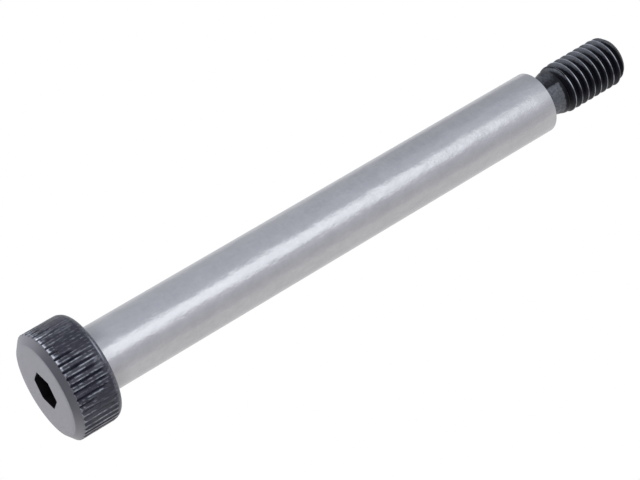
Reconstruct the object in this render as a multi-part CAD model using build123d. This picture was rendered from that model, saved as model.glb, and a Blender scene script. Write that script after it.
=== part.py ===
from build123d import *
import math
import os

os.makedirs("parts", exist_ok=True)

# Shoulder bolt standing on its head, with its axis on +Z and the head face on z = 0.
# All sizes are in millimetres.

# Head
HEAD_DIAMETER = 10.06
HEAD_HEIGHT = 4.5
BEVEL_HEIGHT = 0.55
BEVEL_WIDTH = 0.68
BEARING_EDGE_HEIGHT = 0.85
BEARING_EDGE_WIDTH = 0.65

# Straight knurl of the head
KNURL_GROOVES = 48
KNURL_DEPTH = 0.2
KNURL_GROOVE_WIDTH = 0.3
KNURL_END_CLEARANCE = 0.2

# Hex socket
SOCKET_FLATS = 3.0
SOCKET_DEPTH = 2.5
SOCKET_DRILL_ANGLE = 120

# Shoulder
SHOULDER_DIAMETER = 6.0
SHOULDER_LENGTH = 50.0
SHOULDER_EDGE = 0.12

# Neck and thread
NECK_DIAMETER = 3.9
NECK_LENGTH = 1.65
THREAD_DIAMETER = 4.88
THREAD_END_LENGTH = 9.5
THREAD_RUN_IN = 0.85
TIP_CHAMFER_HEIGHT = 0.55
TIP_CHAMFER_WIDTH = 0.5

head_radius = HEAD_DIAMETER / 2
shoulder_radius = SHOULDER_DIAMETER / 2
thread_radius = THREAD_DIAMETER / 2
neck_radius = NECK_DIAMETER / 2
face_radius = head_radius - BEVEL_WIDTH
shoulder_end = HEAD_HEIGHT + SHOULDER_LENGTH
tip_end = shoulder_end + THREAD_END_LENGTH

# Turned profile from the head face to the tip
with BuildPart() as bolt:
    with BuildSketch(Plane.XZ):
        with BuildLine():
            face = Line((0, 0), (face_radius, 0))
            bevel = Line(face @ 1, (head_radius, BEVEL_HEIGHT))
            side = Line(bevel @ 1, (head_radius, HEAD_HEIGHT - BEARING_EDGE_HEIGHT))
            bearing_edge = EllipticalCenterArc(
                (head_radius - BEARING_EDGE_WIDTH, HEAD_HEIGHT - BEARING_EDGE_HEIGHT),
                BEARING_EDGE_WIDTH, BEARING_EDGE_HEIGHT, start_angle=0, arc_size=90)
            Polyline(
                (head_radius - BEARING_EDGE_WIDTH, HEAD_HEIGHT),
                (shoulder_radius, HEAD_HEIGHT),
                (shoulder_radius, shoulder_end - SHOULDER_EDGE),
                (shoulder_radius - SHOULDER_EDGE, shoulder_end),
                (neck_radius, shoulder_end),
                (neck_radius, shoulder_end + NECK_LENGTH),
                (thread_radius, shoulder_end + NECK_LENGTH + THREAD_RUN_IN),
                (thread_radius, tip_end - TIP_CHAMFER_HEIGHT),
                (thread_radius - TIP_CHAMFER_WIDTH, tip_end),
                (0, tip_end),
                (0, 0))
        make_face()
    revolve(axis=Axis.Z)

    # Knurl grooves from the bevel to just short of the bearing edge
    knurl_top = HEAD_HEIGHT - KNURL_END_CLEARANCE
    with BuildSketch(Plane.XY):
        with PolarLocations(head_radius - KNURL_DEPTH, KNURL_GROOVES):
            Polygon(
                (0, 0),
                (KNURL_DEPTH * 2, KNURL_GROOVE_WIDTH),
                (KNURL_DEPTH * 2, -KNURL_GROOVE_WIDTH),
                align=None)
    extrude(amount=knurl_top, mode=Mode.SUBTRACT)

    # Hex socket with a drilled bottom
    with BuildSketch(Plane.XY):
        RegularPolygon(radius=SOCKET_FLATS / 2, side_count=6, major_radius=False)
    extrude(amount=SOCKET_DEPTH, mode=Mode.SUBTRACT)
    drill_radius = SOCKET_FLATS / 2
    drill_height = drill_radius / math.tan(math.radians(SOCKET_DRILL_ANGLE / 2))
    with Locations((0, 0, SOCKET_DEPTH + drill_height / 2)):
        Cone(drill_radius, 0, drill_height, mode=Mode.SUBTRACT)

shoulder_bolt = bolt.part
shoulder_bolt.label = "shoulder_bolt"
export_step(shoulder_bolt, "parts/shoulder_bolt.step")
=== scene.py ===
import bmesh
import bpy
import math
import random
from mathutils import Matrix, Vector, noise


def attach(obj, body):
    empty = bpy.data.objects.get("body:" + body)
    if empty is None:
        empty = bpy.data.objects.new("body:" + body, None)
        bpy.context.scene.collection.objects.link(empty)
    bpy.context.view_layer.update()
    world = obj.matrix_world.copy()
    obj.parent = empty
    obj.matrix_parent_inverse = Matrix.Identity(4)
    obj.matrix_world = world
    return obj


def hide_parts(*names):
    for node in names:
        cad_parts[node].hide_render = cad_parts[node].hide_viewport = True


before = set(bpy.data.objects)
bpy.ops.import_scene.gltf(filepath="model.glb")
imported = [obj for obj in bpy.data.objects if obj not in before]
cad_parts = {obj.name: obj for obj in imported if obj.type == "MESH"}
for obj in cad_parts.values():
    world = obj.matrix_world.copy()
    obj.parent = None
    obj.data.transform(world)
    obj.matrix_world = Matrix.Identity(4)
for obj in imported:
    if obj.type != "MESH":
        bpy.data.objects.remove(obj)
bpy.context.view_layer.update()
random.seed(41)

MM = 0.001

# Head, in millimetres from the face the bolt stands on
HEAD_RADIUS = 5.03
HEAD_HEIGHT = 4.5
FACE_RADIUS = 4.35
BEVEL_TOP = 0.55
BEARING_EDGE_HEIGHT = 0.85
BEARING_EDGE_WIDTH = 0.65

# Straight knurl; the half width of a groove is a share of the grooves' spacing
GROOVES = 48
GROOVE_DEPTH = 0.2
GROOVE_HALF = 0.25
COLUMNS_PER_GROOVE = 8
COLUMNS = GROOVES * COLUMNS_PER_GROOVE

# The mesh's columns from a groove's bottom to the middle of its ridge, as shares of the spacing
ACROSS_GROOVE = (0.0, 0.125, GROOVE_HALF, 0.4, 0.5)
EDGE, RIDGE_SIDE, RIDGE = 2, 3, 4

# Hex socket
SOCKET_HALF_FLATS = 1.5
SOCKET_DEPTH = 2.5
SOCKET_EDGE = 0.03
DRILL_DEPTH = 0.86

# Shoulder and neck
SHOULDER_RADIUS = 3.0
SHOULDER_END = 54.5
NECK_RADIUS = 2.0

# Thread
THREAD_RADIUS = 2.44
ROOT_RADIUS = 2.0
PITCH = 0.8
THREAD_COLUMNS = 128
THREAD_START = 55.5
RUN_IN_START = 55.95
RUN_IN_END = 57.45
CHAMFER_START = 63.4
TIP = 64.0
TIP_RADIUS = 1.98
CREST_HEIGHT = 57.36
CREST_AZIMUTH = math.radians(-105.85)

# Zones of the turned profile
PLAIN, HEX, KNURL = range(3)

# The side of the bolt that the camera looks at
CAMERA_AZIMUTH = math.radians(-106.69)
toward = Vector((math.cos(CAMERA_AZIMUTH), math.sin(CAMERA_AZIMUTH), 0))
beside = Vector((-toward.y, toward.x, 0))

# Stretches round the bolt, each with its middle and its half width in degrees from the
# camera's side. In the first three the knurl's grooves end low, and in the fourth they leave
# little behind where they fade
FADED_RIGHT = (36, 10)
FADED_LEFT = (-36, 26)
FADED_FAR_LEFT = (-72, 26)
SHALLOW = (-50, 32)

# Stretches where the knurl's grooves get painted shade, its ridges start with painted glints, and
# its side gets a painted sheen, a painted highlight stripe near its top or a painted highlight on
# its upper rim
SHADED_GROOVES = (62, 24)
GLINT_STARTS = (-35, 28)
KNURL_SHEEN_SIDE = (-50, 20)
HIGHLIGHT_STRIPE = (0, 9)
RIM_HIGHLIGHT = (-11, 14)

# Stretches of the neck and the thread with painted sheen, painted highlights and painted shade
NECK_SHEEN_SIDE = (-50, 30)
THREAD_SHEEN_SIDE = (-75, 38)
FAINT_CREST_HIGHLIGHT = (30, 22)
CREST_HIGHLIGHT = (0, 15)
FLANK_HIGHLIGHT_SIDE = (-38, 32)
SHADED_RUN_IN = (30, 45)

# How bright the knurl's ridges are rubbed, and how bright the painted reflection and the painted
# sheen on the neck are, from 0 to 1
RIDGE_WEAR = 0.9
NECK_REFLECTION = 0.28
NECK_SHEEN_LEVEL = 0.2

# The neck's patch of painted reflection: its two sides in degrees from the camera's side, and the
# heights at which the patch and the painted sheen round it end
PATCH_LEFT = (-18, -11)
PATCH_RIGHT = (72, 84)
PATCH_END = 56.5
SHEEN_END = (56.6, 57.0)

# The rubbed band of the knurl's side, the painted glints at its ridges' starts and the painted
# highlight on its upper rim, by height
SIDE_START = (BEVEL_TOP, 0.7)
SIDE_END = (3.8, 4.0)
GLINTS_END = (0.61, 0.82)
RIM_HEIGHT = 4.09
RIM_WIDTH = 0.06

# The heights between which the painted shade on the shoulder's sides ends, beside the head
SHADE_BESIDE_HEAD_END = (5.2, 6.8)


def smooth(low, high, value):
    """0 below the low value, 1 above the high one and an eased rise between them."""
    share = min(1.0, max(0.0, (value - low) / (high - low)))
    return share * share * (3 - 2 * share)


def turned_rows():
    """Height, radius and zone of each row, from the socket's bottom to the neck."""
    drilled = [(DRILL_DEPTH, 0.0), (0.45, 0.72), (0.0, 1.45)]
    rows = [(SOCKET_DEPTH + deeper, radius, PLAIN) for deeper, radius in drilled]
    heights = (SOCKET_DEPTH, SOCKET_DEPTH - SOCKET_EDGE, 1.3, SOCKET_EDGE)
    rows += [(height, SOCKET_HALF_FLATS, HEX) for height in heights]
    rows.append((0.0, SOCKET_HALF_FLATS + SOCKET_EDGE, HEX))
    rows += [(0.0, radius, PLAIN) for radius in (2.1, 2.6, 3.2, 3.8, FACE_RADIUS - 0.02)]

    bevel_rows = 12
    for step in range(bevel_rows + 1):
        share = 0.02 + 0.96 * step / bevel_rows
        rows.append((BEVEL_TOP * share, FACE_RADIUS + (HEAD_RADIUS - FACE_RADIUS) * share, KNURL))
    height = BEVEL_TOP + 0.02
    rows.append((height, HEAD_RADIUS, KNURL))
    while height < HEAD_HEIGHT - BEARING_EDGE_HEIGHT - 0.2:
        height += 0.08 if height < 0.95 else 0.14
        rows.append((height, HEAD_RADIUS, KNURL))
    edge_rows = 11
    for step in range(edge_rows + 1):
        turn = math.radians(90 * step / edge_rows)
        rows.append((HEAD_HEIGHT - BEARING_EDGE_HEIGHT * (1 - math.sin(turn)),
                     HEAD_RADIUS - BEARING_EDGE_WIDTH * (1 - math.cos(turn)), KNURL))

    bearing_face = [(0.0, 0.8), (0.0, 0.06), (0.02, 0.015)]
    rows += [(HEAD_HEIGHT + up, SHOULDER_RADIUS + out, PLAIN) for up, out in bearing_face]
    shoulder_rows = 28
    foot = HEAD_HEIGHT + 0.07
    run = SHOULDER_END - 0.14 - foot
    rows += [(foot + run * step / shoulder_rows, SHOULDER_RADIUS, PLAIN)
             for step in range(shoulder_rows + 1)]
    end_edge = [(0.07, 0.018), (0.03, 0.055), (0.0, 0.12)]
    rows += [(SHOULDER_END - down, SHOULDER_RADIUS - inward, PLAIN) for down, inward in end_edge]
    neck = [(0.0, 0.4), (0.0, 0.06), (0.02, 0.015), (0.08, 0.0), (0.4, 0.0), (0.75, 0.0)]
    rows += [(SHOULDER_END + up, NECK_RADIUS + out, PLAIN) for up, out in neck]
    return rows


def spun(rows, columns, climb=0.0, seam=1e-4):
    """A profile spun round +Z; climb is how far it rises in a full turn."""
    bm = bmesh.new()
    row_mark = bm.verts.layers.int.new("row")
    line = []
    for number, row in enumerate(rows):
        vert = bm.verts.new((row[1], 0, row[0]))
        vert[row_mark] = number
        line.append(vert)
    edges = [bm.edges.new(pair) for pair in zip(line, line[1:])]
    bmesh.ops.spin(bm, geom=line + edges, cent=(0, 0, 0), axis=(0, 0, 1),
                   dvec=(0, 0, climb / columns), angle=math.tau, steps=columns,
                   use_merge=climb == 0)
    bmesh.ops.remove_doubles(bm, verts=bm.verts, dist=seam)
    return bm, row_mark


def azimuth_of(vert):
    """Where a point stands round the bolt's axis, in radians."""
    return math.atan2(vert.co.y, vert.co.x)


def from_camera(azimuth, middle=0):
    """Degrees from the camera's side, or from a place that many degrees beside it."""
    return (math.degrees(azimuth - CAMERA_AZIMUTH) - middle + 180) % 360 - 180


def near(stretch, azimuth):
    """How near an azimuth is to the middle of a stretch, 1 at its middle."""
    middle, width = stretch
    return math.exp(-(from_camera(azimuth, middle) / width) ** 2)


def neck_painted_light(vert):
    """How bright a point of the neck and the thread's run-in is drawn by a painted reflection
    patch with a ragged end and a painted sheen.
    """
    azimuth = azimuth_of(vert)
    height = vert.co.z
    apart = from_camera(azimuth)
    # A bright patch on the neck facing the camera: painted reflection
    patch = smooth(*PATCH_LEFT, apart) * (1 - smooth(*PATCH_RIGHT, apart))
    end = PATCH_END + 0.3 * smooth(50, 80, apart) + 0.12 * noise.noise((azimuth * 7, 0.4, 5.5))
    shine = NECK_REFLECTION * patch * (1 - smooth(end - 0.1, end + 0.05, height))
    # One side of the neck is drawn lighter: painted sheen
    return shine + NECK_SHEEN_LEVEL * near(NECK_SHEEN_SIDE, azimuth) * (1 - smooth(*SHEEN_END, height))


def hex_radius(azimuth, half_flats):
    """How far a hexagon's side is from the axis, with a corner on +X."""
    return half_flats / math.cos((azimuth % (math.pi / 3)) - math.pi / 6)


# How far each groove runs up the head before it fades, what is left of it after that, and how
# deep it is cut as a share of the full depth
groove_azimuth = [math.tau * number / GROOVES for number in range(GROOVES)]
fade_height = [3.9 + random.uniform(-0.3, 0.3) - 1.9 * near(FADED_RIGHT, azimuth)
               - 2.5 * max(near(FADED_LEFT, azimuth), near(FADED_FAR_LEFT, azimuth))
               for azimuth in groove_azimuth]
fade_rest = [random.uniform(0.0, 0.3) * (1 - 0.75 * near(SHALLOW, azimuth))
             for azimuth in groove_azimuth]
groove_share = [random.uniform(0.85, 1.05) for _ in range(GROOVES)]


def groove_depth(groove, height):
    """How deep a groove is at a height, with an uneven bottom."""
    kept = 1 - smooth(fade_height[groove] - 0.5, fade_height[groove] + 0.4, height)
    rest = fade_rest[groove]
    depth = groove_share[groove] * (rest + (1 - rest) * kept)
    depth += (0.1 + 0.7 * rest) * noise.noise((groove * 3.1, height * 1.9, 4.7))
    begun = smooth(BEVEL_TOP - 0.12, BEVEL_TOP, height)
    return GROOVE_DEPTH * begun * min(1.05, max(0.0, depth))


def ridge_line(groove, column, height, share, dark):
    """How bright a broken line along a ridge is. Share is how deep the groove beside it is cut,
    and dark is how near it is to the grooves with painted shade."""
    line = 0.45 + 1.1 * noise.noise((groove * 2.3 + column, height * 0.9, 9.1))
    line = max(0.0, line + 0.9 * noise.noise((groove * 3.7 + column, height * 4.0, 3.3)))
    bright = {EDGE: 1.0 - 0.8 * dark, RIDGE_SIDE: 0.25, RIDGE: 0.1 + dark}
    # Beside the grooves with painted shade, the ridges' edges are drawn darker and their middles
    # lighter: painted shade and painted highlight
    added = {EDGE: -0.7 * share, RIDGE_SIDE: 0.05, RIDGE: 0.3}
    return line * bright[abs(column)] * (0.2 + 0.8 * share) + added[abs(column)] * dark


def knurl_wear_and_light(groove, column, azimuth, height, share):
    """How bright a point of the head's side is drawn, from rubbing and from painted glints, sheen
    and highlights, or below 0 how much painted shade darkens its groove.
    """
    dark = near(SHADED_GROOVES, azimuth)
    side = smooth(*SIDE_START, height) * (1 - smooth(*SIDE_END, height))
    # The grooves' bottoms are marked below 0 and drawn near black, most where they get painted
    # shade
    if abs(column) < EDGE:
        worn_and_painted_light = -share * (0.85 + 0.5 * dark) * (1 - (0.35 - 0.25 * dark) * abs(column))
    else:
        # The ridges' starts are drawn bright, most on one side of the camera: painted glints
        glint = smooth(BEVEL_TOP - 0.04, BEVEL_TOP, height) * (1 - smooth(*GLINTS_END, height))
        lit = 0.1 + 1.4 * near(GLINT_STARTS, azimuth)
        worn_and_painted_light = glint * max(0.0, lit + noise.noise((groove * 0.9, height * 3, 1.3)))
        worn_and_painted_light += RIDGE_WEAR * ridge_line(groove, column, height, share, dark) * side
    # One side of the knurl is drawn lighter: painted sheen
    worn_and_painted_light += 0.15 * near(KNURL_SHEEN_SIDE, azimuth) * side
    # A narrow stripe facing the camera near the top of the knurl is drawn brighter: painted
    # highlight
    worn_and_painted_light += 0.2 * near(HIGHLIGHT_STRIPE, azimuth) * smooth(3.0, 3.5, height) * (height < 4)
    # A thin bright line on the bearing edge's rounding, and a lighter rounding above it: painted
    # highlight
    rim = math.exp(-((height - RIM_HEIGHT) / RIM_WIDTH) ** 2) * near(RIM_HIGHLIGHT, azimuth)
    return max(worn_and_painted_light, 1.1 * rim, 0.2 * smooth(3.75, 4.05, height))


def knurl(bm, row_mark, rows):
    """Cuts the V grooves round the head and marks where the ridges are worn bright, and where
    painted highlights, sheen and shade go.
    """
    wear_and_painted_light = bm.verts.layers.float.new("wear_and_painted_light")
    spacing = math.tau / GROOVES
    for vert in bm.verts:
        height, radius, zone = rows[vert[row_mark]]
        if zone != KNURL:
            continue
        azimuth = azimuth_of(vert)
        groove = round(azimuth / spacing)
        column = round((azimuth / spacing - groove) * COLUMNS_PER_GROOVE)
        phase = math.copysign(ACROSS_GROOVE[abs(column)], column)
        ragged = noise.noise((groove * 1.7, height * 2.6, column * 0.9))
        if abs(column) in (1, EDGE):
            phase += 0.035 * ragged
        full = smooth(FACE_RADIUS, HEAD_RADIUS - GROOVE_DEPTH, radius) if height < 1 else 1.0
        azimuth = (groove + phase * full + column / COLUMNS_PER_GROOVE * (1 - full)) * spacing
        depth = groove_depth(groove % GROOVES, height)
        cut = HEAD_RADIUS
        if abs(column) < EDGE:
            cut -= depth * (1 - abs(phase) / GROOVE_HALF)
        split = 0.035 * max(0.0, 0.5 + noise.noise((groove * 1.3, height * 0.9, 6.2)))
        crown = split if abs(column) == RIDGE else 0.012
        sunk = max(0.0, crown + 0.006 * ragged) if height >= BEVEL_TOP else 0.0
        radius = min(radius - sunk, cut)
        vert.co.x = radius * math.cos(azimuth)
        vert.co.y = radius * math.sin(azimuth)
        vert[wear_and_painted_light] = knurl_wear_and_light(groove, column, azimuth, height, depth / GROOVE_DEPTH)


def body():
    """Head, socket, shoulder and neck, open at the neck's end."""
    rows = turned_rows()
    bm, row_mark = spun(rows, COLUMNS)
    for vert in bm.verts:
        height, radius, zone = rows[vert[row_mark]]
        if zone == HEX:
            azimuth = azimuth_of(vert)
            across = hex_radius(azimuth, radius)
            vert.co.x = across * math.cos(azimuth)
            vert.co.y = across * math.sin(azimuth)
    knurl(bm, row_mark, rows)
    wear_and_painted_light = bm.verts.layers.float["wear_and_painted_light"]
    for vert in bm.verts:
        if vert.co.z > SHOULDER_END and vert.co.xy.length < NECK_RADIUS + 0.01:
            vert[wear_and_painted_light] = neck_painted_light(vert)
    return bm


def envelope(height):
    """The largest radius that the neck, the run-in and the tip's chamfer leave the thread."""
    run_in = min(1.0, max(0.0, (height - RUN_IN_START) / (RUN_IN_END - RUN_IN_START)))
    radius = NECK_RADIUS + (THREAD_RADIUS + 0.01 - NECK_RADIUS) * run_in
    if height > CHAMFER_START:
        share = (height - CHAMFER_START) / (TIP - CHAMFER_START)
        radius = min(radius, THREAD_RADIUS + (TIP_RADIUS - THREAD_RADIUS) * share)
    return radius


# One turn of the thread from the crest's lower side over its top and down to the root, with
# each point's rise above the crest and its radius; the way up to the next crest mirrors it
CREST = [(-0.075, THREAD_RADIUS - 0.045), (-0.04, THREAD_RADIUS - 0.008), (0.0, THREAD_RADIUS),
         (0.04, THREAD_RADIUS - 0.008), (0.075, THREAD_RADIUS - 0.045)]
FALL = [(0.15, 2.27), (0.225, 2.14), (0.295, 2.02), (0.345, ROOT_RADIUS - 0.005)]
ROOT = [(PITCH / 2, ROOT_RADIUS - 0.01)]
TURN = CREST + FALL + ROOT + [(PITCH - rise, radius) for rise, radius in reversed(FALL)]

# How bright each point of that turn is drawn: rubbing and painted highlight on the crest, painted
# shade in the root, and painted highlight on the flanks on the side where they face the lamp
CREST_WEAR_AND_SHINE = [0.05, 0.45, 0.85, 0.45, 0.05]
ROOT_SHADE = [0.0, -0.15, -0.45, -0.8, -0.9, -0.8, -0.45, -0.15, 0.0]
FLANK_HIGHLIGHT = [0.24, 0.0, 0.0, 0.0, 0.24, 0.3, 0.2, 0.0, 0.0, 0.0, 0.0, 0.0, 0.2, 0.3]


def thread_wear_and_light(place, azimuth, height):
    """How bright a point of the thread is drawn, from rubbing and from painted highlights, sheen
    and shade; place is its number in the turn.
    """
    # One side of the thread is drawn lighter, with its roots less dark there: painted sheen
    sheen = near(THREAD_SHEEN_SIDE, azimuth)
    if place < len(CREST):
        # The crests are drawn brighter, most on the camera's side: partly rubbing, partly painted
        # highlight
        shine = 0.95 - 0.45 * near(FAINT_CREST_HIGHLIGHT, azimuth) + 0.3 * near(CREST_HIGHLIGHT, azimuth)
        shine += 0.5 * noise.noise((azimuth * 4, height * 2.3, 7.7))
        worn_and_painted_light = CREST_WEAR_AND_SHINE[place] * shine
    else:
        # The roots are drawn dark: painted shade
        worn_and_painted_light = ROOT_SHADE[place - len(CREST)] * (1 - sheen)
    # The flanks facing the lamp are drawn brighter: painted highlight
    return worn_and_painted_light + 0.2 * sheen + FLANK_HIGHLIGHT[place] * near(FLANK_HIGHLIGHT_SIDE, azimuth)


def cut_across(bm, height, **kept):
    """Cuts a mesh at a height."""
    bmesh.ops.bisect_plane(bm, geom=bm.verts[:] + bm.edges[:] + bm.faces[:], dist=1e-4,
                           plane_co=(0, 0, height), **kept)


def turned_down(vert, wear_and_painted_light):
    """Brings a point of the thread inside the run-in and the chamfer, with small dents."""
    radius = math.hypot(vert.co.x, vert.co.y)
    azimuth = azimuth_of(vert)
    dent = 0.012 * noise.noise((azimuth * 5, vert.co.z * 3.1, 2.2)) if radius > 2.35 else 0
    limit = envelope(vert.co.z)
    cut = limit - min(radius + min(0.0, dent), limit)
    begun = smooth(RUN_IN_START + 0.35, RUN_IN_START + 0.75, vert.co.z)
    # Thread cut off by the run-in is drawn dark on one side: painted shade
    if radius - limit > 0.03:
        vert[wear_and_painted_light] = -0.6 * near(SHADED_RUN_IN, azimuth)
    vert[wear_and_painted_light] = vert[wear_and_painted_light] * begun + neck_painted_light(vert)
    share = (limit - cut * begun) / radius
    vert.co.x *= share
    vert.co.y *= share


def thread():
    """The helical thread from the neck to the tip, closed at the tip."""
    first = CREST_HEIGHT + PITCH * (-CREST_AZIMUTH / math.tau)
    lowest = math.floor((THREAD_START - PITCH - first) / PITCH) - 1
    highest = math.ceil((TIP - first) / PITCH) + 1
    rows = [(first + PITCH * number + rise, radius)
            for number in range(lowest, highest) for rise, radius in TURN]
    bm, row_mark = spun(rows, THREAD_COLUMNS, climb=PITCH, seam=0.01)
    wear_and_painted_light = bm.verts.layers.float.new("wear_and_painted_light")
    for vert in bm.verts:
        vert[wear_and_painted_light] = thread_wear_and_light(vert[row_mark] % len(TURN), azimuth_of(vert), vert.co.z)
    cut_across(bm, THREAD_START, plane_no=(0, 0, -1), clear_outer=True)
    cut_across(bm, TIP, plane_no=(0, 0, 1), clear_outer=True)
    cut_across(bm, CHAMFER_START, plane_no=(0, 0, 1))
    cut_across(bm, RUN_IN_START, plane_no=(0, 0, 1))
    for vert in bm.verts:
        turned_down(vert, wear_and_painted_light)
    rim = [edge for edge in bm.edges if edge.is_boundary and edge.verts[0].co.z > TIP - 0.01]
    for share in (0.9, 0.6, 0.25):
        made = bmesh.ops.extrude_edge_only(bm, edges=rim)["geom"]
        verts = [item for item in made if isinstance(item, bmesh.types.BMVert)]
        here = max(math.hypot(vert.co.x, vert.co.y) for vert in verts)
        size = TIP_RADIUS * share / here
        bmesh.ops.scale(bm, vec=(size, size, 1), verts=verts)
        rim = [item for item in made if isinstance(item, bmesh.types.BMEdge) and item.is_boundary]
    made = bmesh.ops.extrude_edge_only(bm, edges=rim)["geom"]
    verts = [item for item in made if isinstance(item, bmesh.types.BMVert)]
    bmesh.ops.pointmerge(bm, verts=verts, merge_co=(0, 0, TIP))
    return bm


def join(bm, other):
    """Adds one mesh to another, keeping its points' marks of wear and painted light."""
    mesh = bpy.data.meshes.new("part")
    other.to_mesh(mesh)
    bm.from_mesh(mesh)
    bpy.data.meshes.remove(mesh)


# Places of the finishes in the bolt's list of materials
TURNED, GROUND, SOCKET, SIDE, THREAD = range(5)


def finish_of(face):
    """The place in the bolt's list of materials of the finish that a face has."""
    low = min(vert.co.z for vert in face.verts)
    wide = max(vert.co.xy.length for vert in face.verts)
    inside = face.calc_center_median().z > 0
    socket_corner = SOCKET_HALF_FLATS * 1.16
    if low > HEAD_HEIGHT + 0.01:
        return GROUND if wide > SHOULDER_RADIUS - 0.13 else THREAD
    if inside and wide < socket_corner:
        return SOCKET
    return TURNED if low < BEVEL_TOP - 0.01 else SIDE


def shoulder_bolt():
    """The whole bolt as one closed mesh. Its corners are shaded sharp, but for the thread's."""
    bm = body()
    join(bm, thread())
    gap = [edge for edge in bm.edges if edge.is_boundary]
    bmesh.ops.bridge_loops(bm, edges=gap)
    bmesh.ops.recalc_face_normals(bm, faces=bm.faces)
    for face in bm.faces:
        face.smooth = True
        face.material_index = finish_of(face)
    for edge in bm.edges:
        if len(edge.link_faces) == 2 and edge.calc_face_angle() > math.radians(24):
            edge.smooth = max(vert.co.z for vert in edge.verts) > THREAD_START
    open_edges = sum(1 for edge in bm.edges if not edge.is_manifold)
    print("open edges", open_edges, "faces", len(bm.faces))
    bmesh.ops.scale(bm, vec=(MM, MM, MM), verts=bm.verts)
    mesh = bpy.data.meshes.new("bolt")
    bm.to_mesh(mesh)
    bm.free()
    piece = bpy.data.objects.new("bolt", mesh)
    bpy.context.scene.collection.objects.link(piece)
    return piece


class Number:
    """A number in a finish's nodes that takes part in Python sums."""

    def __init__(self, finish, socket):
        self.finish = finish
        self.socket = socket

    def maths(self, operation, *terms):
        made = self.finish.node("ShaderNodeMath", {"operation": operation}, dict(enumerate(terms)))
        return Number(self.finish, made.outputs[0])

    def __add__(self, other):
        return self.maths("ADD", self, other)

    def __radd__(self, other):
        return self.maths("ADD", other, self)

    def __sub__(self, other):
        return self.maths("SUBTRACT", self, other)

    def __rsub__(self, other):
        return self.maths("SUBTRACT", other, self)

    def __mul__(self, other):
        return self.maths("MULTIPLY", self, other)

    def __rmul__(self, other):
        return self.maths("MULTIPLY", other, self)

    def __truediv__(self, other):
        return self.maths("DIVIDE", self, other)

    def within(self):
        return self.maths("MINIMUM", self.maths("MAXIMUM", self, 0.0), 1.0)

    def step(self, low, high):
        share = ((self - low) / (high - low)).within()
        return share * share * (3 - 2 * share)


class Finish:
    """A node tree of a material or the world."""

    def __init__(self, tree):
        self.tree = tree
        self.tree.nodes.clear()

    def node(self, kind, settings=None, sockets=None):
        made = self.tree.nodes.new(kind)
        for name, value in (settings or {}).items():
            if name == "stops":
                stops = made.color_ramp.elements
                for place, (position, colour) in enumerate(value):
                    stop = stops[place] if place < 2 else stops.new(position)
                    stop.position = position
                    stop.color = (*colour, 1)
            else:
                setattr(made, name, value)
        for name, value in (sockets or {}).items():
            source = value.socket if isinstance(value, Number) else value
            if isinstance(source, bpy.types.NodeSocket):
                self.tree.links.new(source, made.inputs[name])
            else:
                made.inputs[name].default_value = source
        return made

    def number(self, socket):
        return Number(self, socket)

    def millimetres(self, stretch=(1, 1, 1)):
        place = self.node("ShaderNodeTexCoord").outputs["Object"]
        scale = [1000 * value for value in stretch]
        return self.node("ShaderNodeMapping", {}, {"Vector": place, "Scale": scale}).outputs[0]

    def place(self):
        """The three coordinates of a point of the piece, in millimetres."""
        parts = self.node("ShaderNodeSeparateXYZ", {}, {0: self.millimetres()})
        return [self.number(socket) for socket in parts.outputs]

    def noise(self, stretch, scale, detail=3.0, roughness=0.5):
        made = self.node("ShaderNodeTexNoise", {}, {
            "Vector": self.millimetres(stretch), "Scale": scale, "Detail": detail,
            "Roughness": roughness})
        return self.number(made.outputs["Fac"])

    def mixed(self, share, first, second):
        made = self.node("ShaderNodeMix", {"data_type": "RGBA"}, {0: share, 6: first, 7: second})
        return made.outputs[2]

    def bump(self, strength, metres, height):
        """The surface's direction over fine relief that is so many metres high."""
        made = self.node("ShaderNodeBump", {}, {
            "Strength": strength, "Distance": metres, "Height": height})
        return made.outputs[0]

    def surface(self, **sockets):
        """Shows the finish on the piece. A socket's name has _ for each space."""
        named = {name.replace("_", " "): value for name, value in sockets.items()}
        shader = self.node("ShaderNodeBsdfPrincipled", {}, named)
        self.node("ShaderNodeOutputMaterial", {}, {"Surface": shader.outputs[0]})


def material(name):
    """A new material and the finish that holds its nodes."""
    made = bpy.data.materials.new(name)
    made.use_nodes = True
    return made, Finish(made.node_tree)


def ground_steel():
    """Bright steel with fine grinding marks, with painted shade on its sides beside the head."""
    made, finish = material("ground_steel")
    marks = finish.noise((0.25, 0.25, 9.0), 1.0, 4.0, 0.6)
    bands = finish.noise((0.12, 0.12, 0.5), 1.0, 2.0)
    clouds = finish.noise((0.5, 0.5, 0.12), 1.0, 3.0)
    speckle = finish.noise((1.0, 1.0, 0.7), 1.5, 4.0, 0.7)
    tone = ((marks - 0.5) * 0.35 + (bands - 0.5) * 0.5 + (clouds - 0.5) * 0.6
            + (speckle - 0.5) * 1.2 + 0.5).within()
    clean = finish.mixed(tone, (0.55, 0.555, 0.57, 1), (0.66, 0.66, 0.675, 1))
    x, y, height = finish.place()
    across = x * (beside.x / SHOULDER_RADIUS) + y * (beside.y / SHOULDER_RADIUS)
    # Darker on the shoulder's two sides as seen from the camera, just beside the head: painted
    # shade
    painted_shade = (1 - height.step(*SHADE_BESIDE_HEAD_END)) * (across * across).step(0.1, 0.3)
    colour = finish.mixed(painted_shade * 0.5, clean, (0.42, 0.425, 0.44, 1))
    rough = 0.22 + (marks - 0.5) * 0.1 + (bands - 0.5) * 0.08
    waves = finish.noise((1.0, 1.0, 0.45), 1.0, 2.0)
    rings = finish.noise((0.5, 0.5, 3.0), 1.0, 3.0)
    relief = waves + rings * 0.18 + marks * 0.03 + speckle * 0.6
    finish.surface(Base_Color=colour, Metallic=1.0, Roughness=rough,
                   Normal=finish.bump(1.0, 4.2e-5, relief))
    return made


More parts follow.
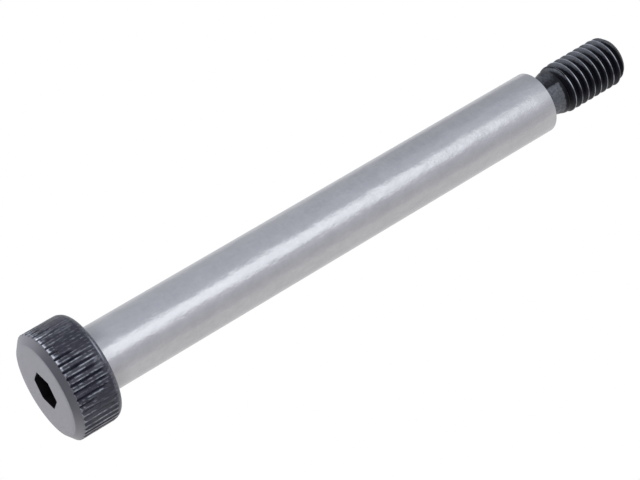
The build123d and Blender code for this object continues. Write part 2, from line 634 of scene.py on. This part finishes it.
def turned_grey():
    """The satin face and bevel of the head, with faint turning marks."""
    made, finish = material("turned_grey")
    marks = finish.noise((1, 1, 1), 4.0, 4.0, 0.6)
    clouds = finish.noise((1, 1, 1), 0.35, 2.0)
    tone = ((marks - 0.5) * 0.5 + (clouds - 0.5) * 0.9 + 0.5).within()
    colour = finish.mixed(tone, (0.235, 0.235, 0.255, 1), (0.285, 0.285, 0.305, 1))
    rough = 0.36 + (marks - 0.5) * 0.14
    finish.surface(Base_Color=colour, Metallic=1.0, Roughness=rough,
                   Normal=finish.bump(0.5, 3e-6, marks))
    return made


def blackened(name, dark, light, gloss, streaked=0.0, uneven=0.8):
    """Blackened steel, worn to grey metal and given painted glints where the mesh is marked above
    0, and darkened with painted shade where it is marked below 0. Streaked is how much it is drawn
    out along the bolt."""
    made, finish = material(name)
    worn_and_painted_light = finish.number(finish.node("ShaderNodeAttribute", {
        "attribute_name": "wear_and_painted_light"}).outputs["Fac"])
    grain = finish.noise((1, 1, 1), 5.0, 4.0, 0.6)
    blotch = finish.noise((1, 1, 1), 0.9, 3.0)
    streaks = finish.noise((1, 1, 0.22), 6.0, 3.0, 0.6)
    # The share marked below 0 is drawn near black: painted shade in grooves and roots
    painted_hollow_shade = (0 - worn_and_painted_light).within()
    bare_and_glint = (worn_and_painted_light * 1.3 - 0.1 + (grain - 0.5) * uneven).within() * worn_and_painted_light.step(0.03, 0.2)
    bare_and_glint = (bare_and_glint + streaked * (streaks - 0.52)).within() * (1 - painted_hollow_shade)
    black = finish.mixed(blotch, (*dark, 1), (*light, 1))
    # Near black for the painted shade
    sunk = finish.mixed(painted_hollow_shade, black, (0.002, 0.002, 0.004, 1))
    # The most strongly marked points turn near white: painted glints
    metal_and_glint = finish.mixed(worn_and_painted_light.step(0.85, 1.4), (0.47, 0.5, 0.55, 1), (0.88, 0.9, 0.95, 1))
    colour = finish.mixed(bare_and_glint, sunk, metal_and_glint)
    rough = 0.36 + (blotch - 0.5) * 0.16 + (grain - 0.5) * 0.12 - bare_and_glint * 0.06
    relief = grain * 0.5 + streaks * streaked
    finish.surface(Base_Color=colour, Metallic=bare_and_glint + painted_hollow_shade, Roughness=rough, IOR=gloss,
                   Normal=finish.bump(0.5, 4e-6 + 3e-5 * streaked, relief))
    return made


def socket_black():
    """The dark inside of the hex socket."""
    made, finish = material("socket_black")
    grain = finish.noise((1, 1, 1), 3.0)
    colour = finish.mixed(grain, (0.002, 0.002, 0.003, 1), (0.006, 0.006, 0.007, 1))
    finish.surface(Base_Color=colour, Roughness=0.7, IOR=1.3)
    return made


bolt = shoulder_bolt()
bolt.data.materials.append(turned_grey())
bolt.data.materials.append(ground_steel())
bolt.data.materials.append(socket_black())
bolt.data.materials.append(blackened(
    "knurl_black", dark=(0.007, 0.009, 0.023), light=(0.023, 0.021, 0.043), gloss=1.58,
    streaked=0.45))
bolt.data.materials.append(blackened(
    "thread_black", dark=(0.003, 0.004, 0.009), light=(0.006, 0.006, 0.013), gloss=1.36,
    uneven=0.55))
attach(bolt, "root")
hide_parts("shoulder_bolt")


# Camera at the photograph's viewing angle, below the face that the bolt stands on
CAMERA_PLACE = Vector((-0.049082, -0.163718, -0.049041))
RIGHT = Vector((0.38359, -0.48828, 0.78387))
UP = Vector((-0.88442, 0.05009, 0.46399))
FORWARD = Vector((0.26582, 0.87125, 0.41263))
camera = bpy.data.objects.new("camera", bpy.data.cameras.new("camera"))
bpy.context.scene.collection.objects.link(camera)
camera.data.lens = 119.82
camera.data.sensor_width = 36.0
camera.data.clip_start = 0.005
camera.data.clip_end = 20
turn = Matrix((RIGHT, UP, -FORWARD)).transposed().to_4x4()
camera.matrix_world = Matrix.Translation(CAMERA_PLACE) @ turn
bpy.context.scene.camera = camera
bpy.context.scene.view_settings.view_transform = "Standard"

FLOOR_HALF_WIDTH = 4.0


def floor():
    """A pale floor that shows from above and is clear from below. Its glow is for the camera
    alone, because it doesn't show in the bolt and doesn't light it."""
    bm = bmesh.new()
    bmesh.ops.create_grid(bm, x_segments=1, y_segments=1, size=FLOOR_HALF_WIDTH)
    mesh = bpy.data.meshes.new("floor")
    bm.to_mesh(mesh)
    bm.free()
    made = bpy.data.objects.new("floor", mesh)
    bpy.context.scene.collection.objects.link(made)
    made.visible_shadow = False
    made.visible_diffuse = False
    made.visible_glossy = False
    made.visible_transmission = False
    paint, finish = material("floor")
    back = finish.node("ShaderNodeNewGeometry").outputs["Backfacing"]
    pale = finish.node("ShaderNodeBsdfPrincipled", {}, {
        "Base Color": (0.86, 0.86, 0.86, 1), "Roughness": 1.0, "IOR": 1.0,
        "Emission Color": (1, 1, 1, 1), "Emission Strength": 0.3})
    clear = finish.node("ShaderNodeBsdfTransparent")
    mix = finish.node("ShaderNodeMixShader", {}, {
        0: back, 1: pale.outputs[0], 2: clear.outputs[0]})
    finish.node("ShaderNodeOutputMaterial", {}, {"Surface": mix.outputs[0]})
    mesh.materials.append(paint)
    return made


floor()


# The studio's light as it goes round the bolt, from the far side past the camera's side and
# back: above the bolt, and the softly striped light below it
LIGHT_ABOVE = (
    (0.0, (0.8, 0.81, 0.82)), (0.08, (0.76, 0.78, 0.8)), (0.16, (0.58, 0.59, 0.64)),
    (0.35, (0.61, 0.63, 0.7)), (0.41, (0.64, 0.66, 0.72)), (0.47, (0.86, 0.88, 0.93)),
    (0.52, (0.81, 0.82, 0.88)), (0.58, (0.61, 0.615, 0.67)), (0.66, (0.555, 0.555, 0.58)),
    (0.73, (0.71, 0.7, 0.71)), (0.85, (0.695, 0.685, 0.69)), (1.0, (0.8, 0.79, 0.8)))
LIGHT_BELOW = (
    (0.0, (1.04, 1.04, 1.1)), (0.07, (1.0, 1.0, 1.06)), (0.15, (0.9, 0.89, 0.98)),
    (0.2, (0.84, 0.83, 0.92)), (0.27, (0.44, 0.44, 0.48)), (0.35, (0.7, 0.71, 0.74)),
    (0.42, (0.46, 0.46, 0.48)), (0.5, (0.84, 0.85, 0.88)), (0.58, (0.44, 0.44, 0.45)),
    (0.66, (0.72, 0.71, 0.71)), (0.74, (0.42, 0.42, 0.43)), (0.8, (0.58, 0.58, 0.59)),
    (0.86, (0.65, 0.65, 0.66)), (0.93, (0.78, 0.78, 0.79)), (1.0, (0.98, 0.97, 1.02)))
LIGHT_STRAIGHT_BELOW = (0.34, 0.345, 0.38, 1)


def studio():
    """A plain soft studio: white to the camera, cool on one side and warm on the other."""
    world = bpy.data.worlds.new("studio")
    bpy.context.scene.world = world
    world.use_nodes = True
    finish = Finish(world.node_tree)
    way = finish.node("ShaderNodeTexCoord").outputs["Generated"]
    front = finish.node("ShaderNodeVectorMath", {"operation": "DOT_PRODUCT"}, {0: way, 1: toward})
    side = finish.node("ShaderNodeVectorMath", {"operation": "DOT_PRODUCT"}, {0: way, 1: beside})
    height = finish.number(finish.node("ShaderNodeSeparateXYZ", {}, {0: way}).outputs[2])
    front = finish.number(front.outputs["Value"])
    side = finish.number(side.outputs["Value"])
    around = front.maths("ARCTAN2", side, front) / math.tau + 0.5
    upper = finish.node("ShaderNodeValToRGB", {"stops": LIGHT_ABOVE}, {0: around})
    lower = finish.node("ShaderNodeValToRGB", {"stops": LIGHT_BELOW}, {0: around})
    under = 1 - height.step(-0.35, 0.1)
    down = 1 - height.step(-0.92, -0.6)
    below = finish.mixed(down, lower.outputs[0], LIGHT_STRAIGHT_BELOW)
    high_left = height.step(0.4, 0.48) * around.step(0.1, 0.15) * (1 - around.step(0.28, 0.37))
    shaded = finish.mixed(high_left * 0.2, upper.outputs[0], (0, 0, 0, 1))
    light = finish.mixed(under, shaded, below)
    seen = finish.node("ShaderNodeLightPath").outputs["Is Camera Ray"]
    colour = finish.mixed(seen, light, (1, 1, 1, 1))
    shader = finish.node("ShaderNodeBackground", {}, {"Color": colour, "Strength": 1.0})
    finish.node("ShaderNodeOutputWorld", {}, {"Surface": shader.outputs[0]})


studio()


BOLT_MIDDLE = Vector((0, 0, 0.03))


def softbox(name, azimuth, elevation, width, height, level, distance=0.6):
    """A soft light that faces the bolt. Its place is in degrees from the camera's side, its
    size in degrees as the bolt sees it, and level is how bright its face is."""
    lamp = bpy.data.lights.new(name, "AREA")
    lamp.shape = "RECTANGLE"
    lamp.size = 2 * distance * math.tan(math.radians(width / 2))
    lamp.size_y = 2 * distance * math.tan(math.radians(height / 2))
    lamp.energy = level * math.pi * lamp.size * lamp.size_y
    lamp.color = (0.95, 0.96, 1.0)
    made = bpy.data.objects.new(name, lamp)
    bpy.context.scene.collection.objects.link(made)
    turned = CAMERA_AZIMUTH + math.radians(azimuth)
    rise = math.radians(elevation)
    place = Vector((math.cos(turned) * math.cos(rise), math.sin(turned) * math.cos(rise),
                    math.sin(rise)))
    made.location = place * distance + BOLT_MIDDLE
    made.rotation_euler = place.to_track_quat("Z", "Y").to_euler()
    made.visible_camera = False
    return made


softbox("key", azimuth=-3.2, elevation=17, width=34, height=29, level=0.52)
